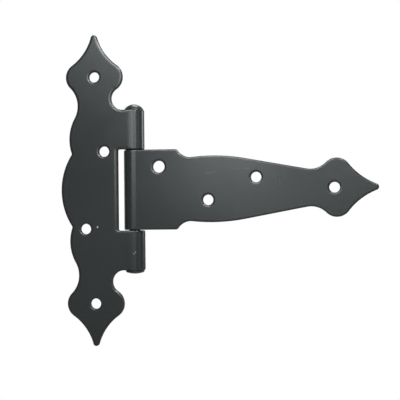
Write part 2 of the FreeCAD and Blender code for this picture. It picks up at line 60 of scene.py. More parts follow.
MM = 0.001
STRAP_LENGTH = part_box("strap")[1].x
LEAF_LENGTH = 2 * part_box("frame_leaf")[1].z
LEAF_REACH = -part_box("frame_leaf")[0].x
BARREL_RADIUS = -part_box("frame_leaf")[0].y
ROOT_WIDTH = 2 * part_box("strap")[1].z
HEAD_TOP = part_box("hinge_pin")[1].z
FOOT_BOTTOM = -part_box("hinge_pin")[0].z
HEAD_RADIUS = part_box("hinge_pin")[1].x
FLOOR_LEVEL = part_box("frame_leaf")[0].z

# How finely the shapes are divided
ARC_STEP = 0.5 * MM
ARC_TURN = math.radians(7)
FINEST_TURN = ARC_TURN / 8
RIB_TURN = math.radians(3)
EDGE_STEPS = 6
HOLE_SIDES = 48
PIN_SIDES = 128
SHANK_STEPS = 40
LEAD_RIBS = 6
LEAST_DEPTH = 1e-7
MERGE_DISTANCE = 1e-9

# Sines of an edge's turn, where its polish is full and where the sheared wall starts
ROUND_START = 0.3
WALL_START = 0.8

# The shares of the room in a narrow tip that the edge's round takes at most, alone and with its fall
ROUND_SHARE = 0.75
REACH_SHARE = 0.92


def length(description, millimetres):
    """A size in metres, given in millimetres."""
    return FloatProperty(description=description, default=millimetres * MM, unit="LENGTH", precision=5)


def off_axis(end, millimetres):
    """How far a place of a sheet lies from the pin's axis."""
    return length(f"From the pin's axis to the {end}", millimetres)


def angle(description, degrees):
    """An angle, given in degrees."""
    return FloatProperty(description=description, default=math.radians(degrees), unit="ROTATION")


def share(description, value):
    """A plain number from nought up."""
    return FloatProperty(description=description, default=value, min=0.0)


def colour(description, value):
    """A linear colour."""
    return FloatVectorProperty(description=description, default=value, subtype="COLOR", min=0.0, max=1.0)


# Sizes


class TEEHINGE_PG_sheet(bpy.types.PropertyGroup):
    """What both stamped sheets share."""

    thickness: length("Thickness of the steel sheet with its coat", 3.0)
    barrel_radius: length("Outside radius of the knuckles", BARREL_RADIUS / MM)
    barrel_length: length("All three knuckles together", 100.5)
    knuckle_gap: length("Play between two knuckles", 0.4)
    seam_gap: length("Gap where the rolled end meets the sheet", 0.2)
    edge_round: length("Radius of the stamped edge on the show side", 0.8)
    rim_round: length("Radius of the hole's rim on the show side", 0.9)
    drop_fade: length("Width over which the fall runs out before the roll", 4.0)
    knuckle_round: length("Radius of the edge on the rolled part", 0.7)
    polish_fade: length("Width over which the rolled part turns glossier", 2.0)
    rim_drop: length("Width over which the face falls to a hole", 0.6)
    drop_tilt: angle("Tilt of the face where the edge's round starts", 17.0)
    back_round: length("Radius of the edge on the back", 0.25)
    curl_corner: length("Radius of the corners of the rolled end", 1.3)


class TEEHINGE_PG_leaf(bpy.types.PropertyGroup):
    """The frame leaf's outline and holes."""

    height: length("From spear tip to spear tip", LEAF_LENGTH / MM)
    spear_reach: off_axis("spear's middle", 24.1)
    spear_width: length("Across the spear's shoulders", 36.2)
    spear_length: length("From the shoulders' centres to the tip", 26.5)
    shoulder_radius: length("Round of the spear's shoulders", 9.3)
    tip_radius: length("Round of the spear's tip", 1.9)
    flank_radius: length("Hollow between shoulder and tip", 32.5)
    notch_setout: length("From the notch's centre to the spear's middle", 17.9)
    neck_radius: length("Hollow between spear and lobe", 16.0)
    lobe_radius: length("Round of the upper and lower lobes", 27.5)
    lobe_reach: off_axis("lobes' edge", 40.3)
    lobe_height: length("From the middle to a lobe's centre", 32.0)
    middle_radius: length("Round of the middle lobe", 41.5)
    middle_reach: off_axis("middle lobe's edge", LEAF_REACH / MM)
    cusp_radius: length("Small hollow where two lobes meet", 1.2)
    slot_clearance: length("From the barrel to the slot's wall", 2.7)
    slot_corner: length("Round of the slot's corners", 1.0)
    slot_round: length("Radius of the slot wall's edge on the show side", 1.5)
    outer_hole_setback: length("From a spear's tip to its hole", 26.5)
    inner_hole_height: length("From the middle to an inner hole", 24.2)
    high_hole_reach: off_axis("upper inner hole", 18.1)
    low_hole_reach: off_axis("lower inner hole", 30.1)
    hole_diameter: length("Across each of the four screw holes", 6.5)
    edge_drop: length("Width over which the face falls to the edge", 1.15)
    lead: length("Where the face starts to tilt before the roll", 3.6)
    lead_tilt: angle("Tilt of the face where the roll starts", 8.0)
    lead_fade: length("Where the tilt has run out, along the roll", 3.0)


class TEEHINGE_PG_strap(bpy.types.PropertyGroup):
    """The strap's outline and holes."""

    reach: off_axis("spear's tip", STRAP_LENGTH / MM)
    root_width: length("Height of the strap at its knuckle", ROOT_WIDTH / MM)
    root_reach: off_axis("end of the straight root", 26.8)
    root_corner: length("Round of the root's corner", 2.0)
    valley_radius: length("Hollow behind the root's corner", 9.7)
    hump_radius: length("Long round of the strap's edge", 112.0)
    hump_reach: off_axis("hump's top", 50.0)
    hump_step: length("How far the hump lies below the root's edge", 4.35)
    taper: angle("Slope of the straight edge towards the neck", 10.5)
    neck_radius: length("Hollow before the spear", 13.3)
    spear_width: length("Across the spear's shoulders", 36.2)
    spear_length: length("From the shoulders' centres to the tip", 25.5)
    shoulder_radius: length("Round of the spear's shoulders", 9.0)
    tip_radius: length("Round of the spear's tip", 2.0)
    flank_radius: length("Hollow between shoulder and tip", 39.7)
    root_hole_reach: off_axis("large hole", 16.6)
    root_hole_height: length("From the middle to the large hole", 14.2)
    root_hole_diameter: length("Across the large hole", 7.4)
    near_hole_reach: off_axis("second hole", 47.4)
    near_hole_drop: length("How far the second hole lies below the middle", 6.8)
    far_hole_reach: off_axis("third hole", 77.3)
    far_hole_height: length("How far the third hole lies above the middle", 6.9)
    tip_hole_setback: length("From the spear's tip to its hole", 26.8)
    hole_diameter: length("Across each of the three smaller holes", 6.5)
    edge_drop: length("Width over which the face falls to the edge", 0.4)
    lead: length("Where the face starts to rise before the roll", 2.6)
    rise_start: length("Where the rise has its full tilt, before the roll", 1.69)
    ridge: length("Where the rise to the knuckle is over, along the roll", 0.2)
    ridge_fade: length("Where the ridge has run out, along the roll", 1.4)
    rise_tilt: angle("How steeply the face rises to the knuckle", 6.0)


class TEEHINGE_PG_pin(bpy.types.PropertyGroup):
    """The riveted pin."""

    diameter: length("Across the pin's shank", 7.0)
    clearance: length("From the shank to the bore", 0.08)
    head_radius: length("Radius of both riveted ends", HEAD_RADIUS / MM)
    head_land: length("Straight side of the domed head", 0.7)
    head_top: length("From the middle to the top of the dome", HEAD_TOP / MM)
    foot_bottom: length("From the middle to the bottom of the foot", FOOT_BOTTOM / MM)
    foot_dome: length("Radius of the foot's shallow dome", 16.0)
    foot_corner: length("Round of the foot's rim", 1.1)
    fillet: length("Small rounds of the pin", 0.25)


class TEEHINGE_PG_coat(bpy.types.PropertyGroup):
    """The powder coat."""

    tone: colour("Colour of the coat", (0.0103, 0.011, 0.011))
    worn_tone: colour("Colour where the coat has thinned", (0.10, 0.105, 0.105))
    roughness: share("How far the sheets' coat spreads a reflection", 0.30)
    pin_roughness: share("How far the pin's coat spreads a reflection", 0.295)
    mottle: share("How much the roughness strays either way", 0.03)
    polish: share("How much less rough the edges are, which hands rub", 0.11)
    knuckle_polish: share("Share of the polish on the knuckles", 0.4)
    wall_dullness: share("Times the polish by which sheared walls are rougher", 3.0)
    peel: length("Width of the coat's soft ripples", 0.9)
    grain: length("Width of the coat's fine grain", 0.22)
    grain_share: share("Height of the grain beside the ripples", 0.22)
    ripple_height: length("Height of the ripples", 0.12)
    ripple_strength: share("How much of the ripples' slope shows", 0.16)
    wear: share("How much the edges have thinned", 0.08)
    scuff_tone: colour("Colour of a small scuff in the coat", (0.45, 0.46, 0.46))
    scuff_dullness: share("How much rougher a scuff is", 0.5)


class TEEHINGE_PG_studio(bpy.types.PropertyGroup):
    """The camera and the room."""

    camera_azimuth: angle("Camera's turn towards the strap", 8.0)
    camera_elevation: angle("Camera's height above the level", -0.71)
    camera_roll: angle("Camera's tilt about its own line of sight", -0.585)
    camera_distance: length("From the camera to the point it looks at", 707.6)
    camera_aim: FloatVectorProperty(
        description="Point that the camera looks at", default=(0.04155, 0.0, -0.00677), unit="LENGTH"
    )
    lens: length("Focal length", 102.06)
    sensor: length("Width of the camera's sensor", 36.0)
    floor_width: length("Side of the pale floor", 6000.0)
    floor_tone: colour("Floor and room as the camera sees them", (1.0, 1.0, 1.0))
    floor_paint: colour("Floor as it lights the hinge", (0.35, 0.35, 0.35))
    room_tint: colour("Room as it lights the hinge", (0.95, 1.0, 1.0))
    room_fill: share("How brightly the room lights the hinge", 0.34)
    lamp_tint: colour("Colour of the softboxes", (0.93, 1.0, 1.0))


# Plane geometry for where the arcs of an outline meet


def at(x, z):
    """A point or a direction in the flat sheet."""
    return np.array([x, z])


def touch(centre_a, radius_a, centre_b):
    """The point of circle a that faces the centre of circle b."""
    way = centre_b - centre_a
    return centre_a + way * radius_a / np.hypot(*way)


def nestle(centre_a, radius_a, centre_b, radius_b, radius):
    """The centre of a circle that touches circles a and b from outside, left of the way a to b."""
    way = centre_b - centre_a
    apart = np.hypot(*way)
    reach_a = radius_a + radius
    reach_b = radius_b + radius
    along = (reach_a**2 - reach_b**2 + apart**2) / (2 * apart)
    aside = math.sqrt(reach_a**2 - along**2)
    way = way / apart
    return centre_a + along * way + aside * at(-way[1], way[0])


def slide_to_touch(start, way, centre, reach):
    """The first point on a line's way that is within reach of a centre."""
    to_centre = centre - start
    along = to_centre @ way
    aside = to_centre[0] * way[1] - to_centre[1] * way[0]
    return start + (along - math.sqrt(reach**2 - aside**2)) * way


def tuck_under(centre, radius, x, level):
    """The radius of a circle centred at x that rests on a level and touches a circle above it."""
    aside = x - centre[0]
    rise = centre[1] - level
    return (aside**2 + rise**2 - radius**2) / (2 * (rise + radius))


class Outline:
    """Half an outline, walked with the metal on its left. Every point has the direction straight
    out of the metal and the radius of its edge's round, so that a section can be carried along it."""

    def __init__(self, start, edge_round=0.0):
        self.end = start
        self.edge_round = edge_round
        self.points = [start[None, :]]
        self.outward = []
        self.rounds = [[edge_round]]

    def count(self):
        return sum(len(run) for run in self.points)

    def line(self, end, pieces=1, round_to=None):
        """A straight run: the points are start + t (end - start)."""
        way = (end - self.end) / np.hypot(*(end - self.end))
        steps = np.linspace(0, 1, pieces + 1)[:, None]
        outward = np.tile(at(way[1], -way[0]), (pieces + 1, 1))
        self._add(self.end + steps * (end - self.end), outward, round_to)

    def arc(self, centre, end, left_turn=True, round_to=None):
        """An arc: the points are centre + radius (cos, sin). It bulges outward if it turns left."""
        arm = self.end - centre
        radius = np.hypot(*arm)
        first = math.atan2(arm[1], arm[0])
        last = math.atan2(end[1] - centre[1], end[0] - centre[0])
        sweep = (last - first) % math.tau
        if not left_turn:
            sweep -= math.tau
        size = abs(sweep)
        pieces = math.ceil(max(size / ARC_TURN, min(size * radius / ARC_STEP, size / FINEST_TURN)))
        turn = first + sweep * np.linspace(0, 1, pieces + 1)
        spoke = np.stack([np.cos(turn), np.sin(turn)], 1)
        self._add(centre + radius * spoke, spoke if left_turn else -spoke, round_to)

    def hollow(self, centre, end, round_to=None):
        """An arc that turns right, into the metal."""
        self.arc(centre, end, left_turn=False, round_to=round_to)

    def chain(self, bulges, hollow_radii):
        """Each bulge but the last, with the hollow that leads to the next and touches both. A bulge
        is a centre and a radius."""
        for (centre, radius), (after, after_radius), hollow_radius in zip(bulges, bulges[1:], hollow_radii):
            hollow = nestle(after, after_radius, centre, radius, hollow_radius)
            self.arc(centre, touch(centre, radius, hollow))
            self.hollow(hollow, touch(after, after_radius, hollow))

    def _add(self, points, outward, round_to):
        if not self.outward:
            self.outward.append(outward[:1])
        last_round = self.edge_round if round_to is None else round_to
        self.rounds.append(np.linspace(self.edge_round, last_round, len(points))[1:])
        self.edge_round = last_round
        self.points.append(points[1:])
        self.outward.append(outward[1:])
        self.end = points[-1]

    def half(self):
        return [np.concatenate(part) for part in (self.points, self.outward, self.rounds)]


def whole_outline(outline):
    """The half outline and its mirror image below the level axis, as one closed loop."""
    flips = (at(1, -1), at(1, -1), 1)
    return [np.concatenate([part, part[-2:0:-1] * flip]) for part, flip in zip(outline.half(), flips)]


def hole_loop(centre, radius, rim_round):
    """A hole's edge, walked with the metal on the left: centre + radius (cos, -sin)."""
    sides = max(HOLE_SIDES, math.ceil(math.tau * radius / ARC_STEP))
    turn = np.linspace(0, math.tau, sides, endpoint=False)
    spoke = np.stack([np.cos(turn), -np.sin(turn)], 1)
    return centre + radius * spoke, -spoke, np.full(sides, rim_round)


# The sheets


def curl(sheet, pin):
    """Along the flat sheet from the roll line, where the corners of the rolled end start and where
    it is cut, and into how many steps the roll is divided."""
    bore = pin.diameter / 2 + pin.clearance
    turn = 1.5 * math.pi + math.asin((bore - sheet.seam_gap) / sheet.barrel_radius)
    end = sheet.barrel_radius * turn
    return end - sheet.curl_corner, end, math.ceil(turn / RIB_TURN)


def room_inside(points, outward):
    """At each point of an edge, the radius of the largest circle that touches the edge there and
    holds nothing but metal: the least of d d / 2 h, for points at distance d and depth h."""
    apart = points[None, :, :] - points[:, None, :]
    inward = -(apart * outward[:, None, :]).sum(2)
    square = (apart**2).sum(2)
    radius = np.where(inward > LEAST_DEPTH, square / np.maximum(2 * inward, LEAST_DEPTH), 1.0)
    return radius.min(1)


def edge_sections(room, front_round, drop, sheet):
    """The edge's section at each point, from the show face round to the back: how far in from the
    outline, how deep, and which way it looks. The face first falls along a parabola, as the punch
    pulls it down. Then both rounds are arcs, r (1 - sin t) and r (1 - cos t)."""
    tilt = sheet.drop_tilt
    front_turn = np.linspace(tilt, math.pi / 2, EDGE_STEPS)
    back_turn = np.linspace(0, math.pi / 2, EDGE_STEPS)
    room = room[:, None]
    front_round = np.minimum(front_round[:, None], ROUND_SHARE * room)
    reach = np.minimum(front_round + drop, REACH_SHARE * room)
    width = reach - front_round * (1 - math.sin(tilt))
    fall = width * math.tan(tilt) / 2
    back_round = np.full_like(front_round, sheet.back_round)
    front_inset = front_round * (1 - np.sin(front_turn))
    front_depth = fall + front_round * (math.cos(tilt) - np.cos(front_turn))
    back_inset = back_round * (1 - np.cos(back_turn))
    back_depth = sheet.thickness - back_round * (1 - np.sin(back_turn))
    inset = np.concatenate([reach, reach - width / 2, front_inset, back_inset], 1)
    depth = np.concatenate([0 * fall, fall / 4, front_depth, back_depth], 1)
    out = np.concatenate([[0, math.sin(tilt / 2)], np.sin(front_turn), np.cos(back_turn)])
    front = np.concatenate([[1, math.cos(tilt / 2)], np.cos(front_turn), -np.sin(back_turn)])
    return inset, depth, out, front


def carried_edge(points, outward, sections):
    """The sections carried along a loop: every point moves in by the inset, and its normal leans
    from the show face to straight out of the metal and on to the back."""
    inset, depth, out, front = sections
    flat = points[:, None] - outward[:, None] * inset[:, :, None]
    lean = outward[:, None] * out[:, None]
    place = np.stack([flat[..., 0], depth, flat[..., 1]], 2)
    normal = np.stack([lean[..., 0], np.broadcast_to(front, depth.shape), lean[..., 1]], 2)
    return place, normal, np.broadcast_to(out, depth.shape)


def loop_quads(first, rows, columns):
    """The faces of a closed loop of sections, looking away from the metal."""
    row = np.arange(rows)[:, None]
    column = np.arange(columns - 1)[None, :]
    here = first + row * columns + column
    ahead = first + (row + 1) % rows * columns + column
    return np.stack([here, here + 1, ahead + 1, ahead], 2).reshape(-1, 4)


def fill(loops, ribs):
    """Triangles between the loops of a flat face, of which the first is the outline and the others
    are round holes. The ribs are edges across the part that is rolled, so that no triangle spans
    more than one step of the roll."""
    points = np.concatenate(loops)
    edges = list(ribs)
    first = 0
    for loop in loops:
        numbers = first + np.arange(len(loop))
        edges += np.stack([numbers, np.roll(numbers, -1)], 1).tolist()
        first += len(loop)
    spots = [Vector(point) for point in points.tolist()]
    flat, _, faces, origins, _, _ = delaunay_2d_cdt(spots, edges, [], 1, MERGE_DISTANCE)
    if len(flat) != len(points):
        raise ValueError("the outline crosses itself")
    number = np.array([origin[0] for origin in origins])
    faces = number[np.array(faces)]
    # A triangle with all its corners on one hole lies in it
    loop_of = np.repeat(np.arange(len(loops)), [len(loop) for loop in loops])[faces]
    faces = faces[(loop_of[:, 0] == 0) | np.ptp(loop_of, axis=1).astype(bool)]
    corners = points[faces]
    one = corners[:, 1] - corners[:, 0]
    two = corners[:, 2] - corners[:, 0]
    clockwise = one[:, 0] * two[:, 1] - one[:, 1] * two[:, 0] < 0
    faces[clockwise] = faces[clockwise][:, ::-1]
    return faces


def roll(place, normal, sheet, side, tilts):
    """The flat sheet rolled about the pin. Beyond the roll line a point at x and depth d goes to the
    angle x / R on the circle of radius R - d, and its normal turns by the same angle. The normal
    also turns by the slight tilt with which such a roll starts, given at places along the roll."""
    x, depth, z = place.T
    radius = sheet.barrel_radius - depth
    beyond = np.maximum(side * x, 0)
    turn = beyond / sheet.barrel_radius
    rolled = beyond > 0
    tilt = np.interp(side * x, *zip(*tilts))
    x = np.where(rolled, side * radius * np.sin(turn), x)
    y = np.where(rolled, -radius * np.cos(turn), -radius)
    turn = turn + tilt
    along, front, up = normal.T
    normal_x = along * np.cos(turn) + front * side * np.sin(turn)
    normal_y = along * side * np.sin(turn) - front * np.cos(turn)
    return np.stack([x, y, z], 1), np.stack([normal_x, normal_y, up], 1)


def new_piece(name, place, faces, normal, attributes, coat, body, node):
    """A mesh object at the origin that rides a body and stands for a node."""
    mesh = bpy.data.meshes.new(name)
    mesh.from_pydata(place.tolist(), [], faces)
    mesh.polygons.foreach_set("use_smooth", np.ones(len(mesh.polygons), bool))
    for label, values in attributes.items():
        mesh.attributes.new(label, "FLOAT", "POINT").data.foreach_set("value", values.astype(np.float32))
    mesh.normals_split_custom_set_from_vertices(normal.tolist())
    mesh.materials.append(bpy.data.materials[coat])
    mesh.validate()
    piece = bpy.data.objects.new(name, mesh)
    bpy.context.scene.collection.objects.link(piece)
    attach(piece, body)
    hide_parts(node)


def edge_polish(along, wall, sheet, coat):
    """How polished a vertex is. Its wall w is the sine of the edge's turn: 0 on a face and 1 on the
    sheared wall. The rounds are the most polished, then the rolled part, and the walls are dull."""
    rolled = np.clip(along / sheet.polish_fade, 0, 1)
    sheared = np.clip((wall - WALL_START) / (1 - WALL_START), 0, 1)
    rounded = np.clip(wall / ROUND_START, 0, 1) * (1 - sheared)
    return np.maximum(rounded, coat.knuckle_polish * rolled) - coat.wall_dullness * sheared


def make_sheet(name, outline, ribs, holes, side, edge_drop, tilts, body, node):
    """A stamped sheet with rounded edges and holes, rolled at its root."""
    sheet = bpy.context.scene.tee_hinge_sheet
    loops = [(*whole_outline(outline), [edge_drop, 0.0])]
    for centre, radius in holes:
        loops.append((*hole_loop(centre, radius, sheet.rim_round), [sheet.rim_drop] * 2))

    first = 0
    starts, fronts, backs, parts, quads = [], [], [], [], []
    for points, outward, rounds, drops in loops:
        drop = np.interp(side * points[:, :1], [-sheet.drop_fade, 0.0], drops)
        sections = edge_sections(room_inside(points, outward), rounds, drop, sheet)
        place, normal, wall = carried_edge(points, outward, sections)
        rows, columns = wall.shape
        parts.append((place.reshape(-1, 3), normal.reshape(-1, 3), wall.ravel()))
        quads.append(loop_quads(first, rows, columns))
        starts.append(first + np.arange(rows) * columns)
        fronts.append(place[:, 0, ::2])
        backs.append(place[:, -1, ::2])
        first += rows * columns
    place, normal, wall = (np.concatenate(group) for group in zip(*parts))
    polish = edge_polish(side * place[:, 0], wall, sheet, bpy.context.scene.tee_hinge_coat)
    place, normal = roll(place, normal, sheet, side, tilts)

    number = np.concatenate(starts)
    front = number[fill(fronts, ribs)]
    back = number[fill(backs, ribs)][:, ::-1] + columns - 1
    faces = np.concatenate(quads).tolist() + front.tolist() + back.tolist()
    attributes = {"wall": wall, "polish": polish}
    new_piece(name, place, faces, normal, attributes, "sheet_powder_coat", body, node)


def leaf_outline(leaf, sheet, strap, pin):
    """The upper half of the frame leaf before rolling, and the ribs across both arms."""
    slot_top = strap.root_width / 2 + sheet.knuckle_gap
    arm_top = sheet.barrel_length / 2
    shoulder_height = leaf.height / 2 - leaf.spear_length
    half_spear = leaf.spear_width / 2 - leaf.shoulder_radius
    tip = at(-leaf.spear_reach, leaf.height / 2 - leaf.tip_radius)
    near = at(half_spear - leaf.spear_reach, shoulder_height)
    free = at(-half_spear - leaf.spear_reach, shoulder_height)
    lobe = at(leaf.lobe_radius - leaf.lobe_reach, leaf.lobe_height)
    middle = at(leaf.middle_radius - leaf.middle_reach, 0.0)
    bulges = [
        (near, leaf.shoulder_radius),
        (tip, leaf.tip_radius),
        (free, leaf.shoulder_radius),
        (lobe, leaf.lobe_radius),
        (middle, leaf.middle_radius),
    ]
    notch_x = leaf.notch_setout - leaf.spear_reach
    notch_radius = tuck_under(near, leaf.shoulder_radius, notch_x, arm_top)
    notch = at(notch_x, arm_top + notch_radius)

    wall = -(sheet.barrel_radius + leaf.slot_clearance)
    corner = leaf.slot_corner
    curl_run, curl_end, ribs = curl(sheet, pin)

    outline = Outline(at(wall, 0.0), leaf.slot_round)
    outline.line(at(wall, slot_top - corner))
    outline.hollow(
        at(wall + corner, slot_top - corner), at(wall + corner, slot_top), round_to=sheet.edge_round
    )
    outline.line(at(-leaf.lead, slot_top))
    lower = outline.count() - 1
    outline.line(at(0.0, slot_top), pieces=LEAD_RIBS, round_to=sheet.knuckle_round)
    outline.line(at(curl_run, slot_top), pieces=ribs)
    outline.arc(at(curl_run, slot_top + sheet.curl_corner), at(curl_end, slot_top + sheet.curl_corner))
    outline.line(at(curl_end, arm_top - sheet.curl_corner))
    outline.arc(at(curl_run, arm_top - sheet.curl_corner), at(curl_run, arm_top))
    outline.line(at(0.0, arm_top), pieces=ribs)
    outline.line(at(-leaf.lead, arm_top), pieces=LEAD_RIBS, round_to=sheet.edge_round)
    upper = outline.count() - 1
    outline.line(at(notch[0], arm_top))
    outline.hollow(notch, touch(notch, notch_radius, near))
    outline.chain(bulges, [leaf.flank_radius, leaf.flank_radius, leaf.neck_radius, leaf.cusp_radius])
    outline.arc(middle, at(-leaf.middle_reach, 0.0))

    whole = 2 * (outline.count() - 1)
    pairs = [(lower + step, upper - step) for step in range(LEAD_RIBS + ribs + 1)]
    pairs += [(whole - one, whole - two) for one, two in pairs]
    return outline, pairs


def leaf_holes(leaf):
    """The four holes' centres and radii."""
    outer = leaf.height / 2 - leaf.outer_hole_setback
    radius = leaf.hole_diameter / 2
    return [
        (at(-leaf.spear_reach, outer), radius),
        (at(-leaf.spear_reach, -outer), radius),
        (at(-leaf.high_hole_reach, leaf.inner_hole_height), radius),
        (at(-leaf.low_hole_reach, -leaf.inner_hole_height), radius),
    ]


def strap_outline(strap, sheet, pin):
    """The upper half of the strap before rolling, and the ribs across its root."""
    root = strap.root_width / 2
    slope = at(math.cos(strap.taper), -math.sin(strap.taper))
    off_slope = at(math.sin(strap.taper), math.cos(strap.taper))
    corner = at(strap.root_reach, root - strap.root_corner)
    hump = at(strap.hump_reach, root - strap.hump_step - strap.hump_radius)
    hump_end = hump + off_slope * strap.hump_radius
    shoulder = at(strap.reach - strap.spear_length, strap.spear_width / 2 - strap.shoulder_radius)
    neck = slide_to_touch(
        hump_end + off_slope * strap.neck_radius, slope, shoulder, strap.neck_radius + strap.shoulder_radius
    )
    tip = at(strap.reach - strap.tip_radius, 0.0)
    curl_run, curl_end, ribs = curl(sheet, pin)

    outline = Outline(at(strap.reach, 0.0), sheet.edge_round)
    outline.chain([(tip, strap.tip_radius), (shoulder, strap.shoulder_radius)], [strap.flank_radius])
    outline.arc(shoulder, touch(shoulder, strap.shoulder_radius, neck))
    outline.hollow(neck, neck - off_slope * strap.neck_radius)
    outline.line(hump_end)
    outline.chain([(hump, strap.hump_radius), (corner, strap.root_corner)], [strap.valley_radius])
    outline.arc(corner, at(strap.root_reach, root))
    outline.line(at(strap.lead, root))
    start = outline.count() - 1
    outline.line(at(0.0, root), pieces=LEAD_RIBS, round_to=sheet.knuckle_round)
    outline.line(at(-curl_run, root), pieces=ribs)
    outline.arc(at(-curl_run, root - sheet.curl_corner), at(-curl_end, root - sheet.curl_corner))
    outline.line(at(-curl_end, 0.0))

    whole = 2 * (outline.count() - 1)
    pairs = [(start + step, whole - start - step) for step in range(LEAD_RIBS + ribs + 1)]
    return outline, pairs


def strap_holes(strap):
    """The four holes' centres and radii."""
    radius = strap.hole_diameter / 2
    return [
        (at(strap.root_hole_reach, strap.root_hole_height), strap.root_hole_diameter / 2),
        (at(strap.near_hole_reach, -strap.near_hole_drop), radius),
        (at(strap.far_hole_reach, strap.far_hole_height), radius),
        (at(strap.reach - strap.tip_hole_setback, 0.0), radius),
    ]


# The pin


def pin_outline(pin, sheet):
    """Half the pin's section, from the foot's middle up to the top of the dome."""
    seat = sheet.barrel_length / 2
    shank = pin.diameter / 2
    head = pin.head_radius
    bottom = pin.foot_bottom
    fillet = pin.fillet
    rim = seat + pin.head_land
    rise = pin.head_top - rim
    dome_radius = (head**2 + rise**2) / (2 * rise)
    dome = at(0.0, pin.head_top - dome_radius)
    inner = dome_radius - fillet
    rim_corner = at(head - fillet, dome[1] + math.sqrt(inner**2 - (head - fillet) ** 2))
    foot_dome = at(0.0, pin.foot_dome - bottom)
    foot_inner = pin.foot_dome - pin.foot_corner
    corner_reach = head - pin.foot_corner
    foot_corner = at(corner_reach, foot_dome[1] - math.sqrt(foot_inner**2 - corner_reach**2))

    outline = Outline(at(0.0, -bottom))
    outline.arc(foot_dome, touch(foot_dome, pin.foot_dome, foot_corner))
    outline.arc(foot_corner, at(head, foot_corner[1]))
    outline.line(at(head, -seat - fillet))
    outline.arc(at(head - fillet, -seat - fillet), at(head - fillet, -seat))
    outline.line(at(shank + fillet, -seat))
    outline.hollow(at(shank + fillet, fillet - seat), at(shank, fillet - seat))
    outline.line(at(shank, seat - fillet), pieces=SHANK_STEPS)
    outline.hollow(at(shank + fillet, seat - fillet), at(shank + fillet, seat))
    outline.line(at(head - fillet, seat))
    outline.arc(at(head - fillet, seat + fillet), at(head, seat + fillet))
    outline.line(rim_corner + at(fillet, 0.0))
    outline.arc(rim_corner, touch(dome, dome_radius, rim_corner))
    outline.arc(dome, at(0.0, pin.head_top))
    return outline


def turned(outline):
    """A closed surface of revolution: (r cos t, r sin t, z), with one vertex at each pole."""
    section, outward, _ = outline.half()
    turn = np.linspace(0, math.tau, PIN_SIDES, endpoint=False)
    ring = np.stack([np.cos(turn), np.sin(turn)], 1)

    def spun(half):
        level = np.broadcast_to(half[:, 1, None, None], (len(half), PIN_SIDES, 1))
        return np.concatenate([half[:, 0, None, None] * ring, level], 2).reshape(-1, 3)

    poles = [[0, 0, section[0, 1]], [0, 0, section[-1, 1]]]
    place = np.concatenate([spun(section[1:-1]), poles])
    normal = np.concatenate([spun(outward[1:-1]), [[0, 0, -1], [0, 0, 1]]])
    rows = len(section) - 2
    side = np.arange(PIN_SIDES)
    after = (side + 1) % PIN_SIDES
    row = np.arange(rows - 1)[:, None] * PIN_SIDES
    above = row + PIN_SIDES
    quads = np.stack([row + side, row + after, above + after, above + side], 2).reshape(-1, 4)
    top = (rows - 1) * PIN_SIDES
    foot = np.stack([after, side, np.full(PIN_SIDES, len(place) - 2)], 1)
    head = np.stack([top + side, top + after, np.full(PIN_SIDES, len(place) - 1)], 1)
    return place, normal, quads.tolist() + foot.tolist() + head.tolist()


# Materials


def new_node(tree, kind, links=None, **settings):
    """A node with its settings and its inputs, each a value or another node's output."""
    node = tree.nodes.new(kind)
    for name, value in settings.items():
        setattr(node, name, value)
    for socket, value in (links or {}).items():
        if isinstance(value, bpy.types.NodeSocket):
            tree.links.new(value, node.inputs[socket])
        else:
            node.inputs[socket].default_value = value
    return node


def new_group(name, vectors, numbers, results):
    """An empty shader node group with named sockets, and its ends. Its results are numbers."""
    tree = bpy.data.node_groups.new(name, "ShaderNodeTree")
    sockets = [(label, "INPUT", "NodeSocketVector") for label in vectors]
    sockets += [(label, "INPUT", "NodeSocketFloat") for label in numbers]
    sockets += [(label, "OUTPUT", "NodeSocketFloat") for label in results]
    for label, direction, kind in sockets:
        tree.interface.new_socket(label, in_out=direction, socket_type=kind)
    given = tree.nodes.new("NodeGroupInput").outputs
    return tree, given, tree.nodes.new("NodeGroupOutput").inputs


def place_group(tree, name, links):
    """A group's outputs, with the given inputs."""
    return new_node(tree, "ShaderNodeGroup", links, node_tree=bpy.data.node_groups[name]).outputs


def calculate(tree, operation, *inputs, clamp=False):
    """A Math node's result."""
    links = dict(enumerate(inputs))
    return new_node(tree, "ShaderNodeMath", links, operation=operation, use_clamp=clamp).outputs[0]


def combine(tree, operation, one, two):
    """A Vector Math node's outputs."""
    return new_node(tree, "ShaderNodeVectorMath", {0: one, 1: two}, operation=operation).outputs


def noise(tree, vector, scale, detail, roughness=0.5):
    """Noise around 0.5, with the given number of cells to the metre."""
    links = {"Vector": vector, "Scale": scale, "Detail": detail, "Roughness": roughness}
    return new_node(tree, "ShaderNodeTexNoise", links).outputs["Fac"]


def fade(tree, value, start, end, low, high, kind="SMOOTHSTEP"):
    """From low to high while the value goes from start to end."""
    links = {"Value": value, "From Min": start, "From Max": end, "To Min": low, "To Max": high}
    return new_node(tree, "ShaderNodeMapRange", links, interpolation_type=kind).outputs["Result"]


def blend(tree, factor, one, two):
    """One colour that gives way to another."""
    node = new_node(tree, "ShaderNodeMix", {"Factor": factor, "A": one, "B": two}, data_type="RGBA")
    return [socket for socket in node.outputs if socket.type == "RGBA"][0]


